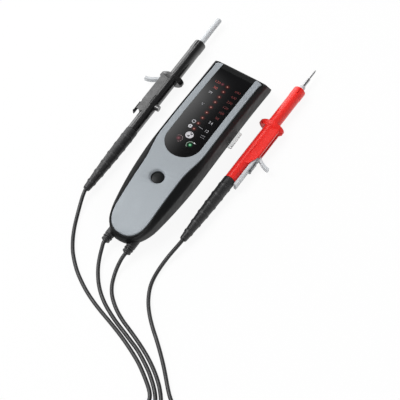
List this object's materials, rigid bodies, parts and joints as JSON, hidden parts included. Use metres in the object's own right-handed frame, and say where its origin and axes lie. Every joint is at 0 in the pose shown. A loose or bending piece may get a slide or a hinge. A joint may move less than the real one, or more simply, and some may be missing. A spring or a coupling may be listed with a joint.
{
  "type": "two-pole voltage tester",
  "caption": "Handheld two-pole voltage tester with a lamp display, a push button, and black and red probes on leads with sliding tip sleeves.",
  "frame": {"origin": "on the surface that the tester lies on, under the middle of its back", "axes": "+X across the tester to the right as seen from the front, +Y from the leads towards the display end, +Z out of the display face"},
  "size_m": [0.2942, 0.4813, 0.04],
  "materials": {
    "black_plastic": "satin",
    "grey_cover": "satin",
    "smoked_lens": "gloss",
    "red_lamp": "gloss",
    "green_lamp": "gloss",
    "board": "satin",
    "ceramic": "matte",
    "button_rubber": "matte",
    "cell_jacket": "gloss",
    "spring_steel": "satin",
    "clear_plastic": "gloss",
    "black_rubber": "matte",
    "probe_black": "gloss",
    "probe_red": "gloss",
    "sleeve_plastic": "gloss",
    "contact_metal": "polished",
    "crimp_brass": "satin"
  },
  "bodies": {
    "tester": {"rear_housing": "black_plastic", "front_cover": "grey_cover", "display_window": "smoked_lens", "lamp_mask": "black_plastic", "voltage_lamps": "red_lamp", "state_lamps": "green_lamp", "circuit_board": "board", "input_resistors": "ceramic", "buzzer": "black_plastic", "button_switch": "black_plastic", "batteries": "cell_jacket", "battery_contacts": "spring_steel", "battery_door": "black_plastic", "door_screw": "spring_steel", "housing_screws": "spring_steel", "probe_clip": "clear_plastic", "left_gland": "black_rubber", "right_gland": "black_rubber", "lead_ends": "black_rubber", "black_probe_body": "probe_black", "black_end_stop": "black_plastic", "black_contact": "contact_metal", "black_crimp": "crimp_brass", "black_grip": "black_rubber", "black_lead_end": "black_rubber", "red_probe_body": "probe_red", "red_end_stop": "black_plastic", "red_contact": "contact_metal", "red_crimp": "crimp_brass", "red_grip": "black_rubber", "red_lead_end": "black_rubber", "black_lead_out": "black_rubber", "black_lead_coil": "black_rubber", "black_lead_in": "black_rubber", "red_lead_out": "black_rubber", "red_lead_coil": "black_rubber", "red_lead_in": "black_rubber"},
    "button": {"push_button": "button_rubber"},
    "black_slider": {"black_sleeve": "sleeve_plastic"},
    "red_slider": {"red_sleeve": "sleeve_plastic"}
  },
  "joints": [
    {"name": "button_press", "type": "slide", "parent": "tester", "child": "button", "axis": [0, 0.1003, -0.995], "range_m": [0, 0.001], "stiffness_N_per_m": 2000},
    {"name": "black_sleeve_slide", "type": "slide", "parent": "tester", "child": "black_slider", "axis": [-0.014, 0.9999, 0], "range_m": [-0.034, 0]},
    {"name": "red_sleeve_slide", "type": "slide", "parent": "tester", "child": "red_slider", "axis": [0.0297, 0.9996, 0], "range_m": [0, 0.034]}
  ]
}
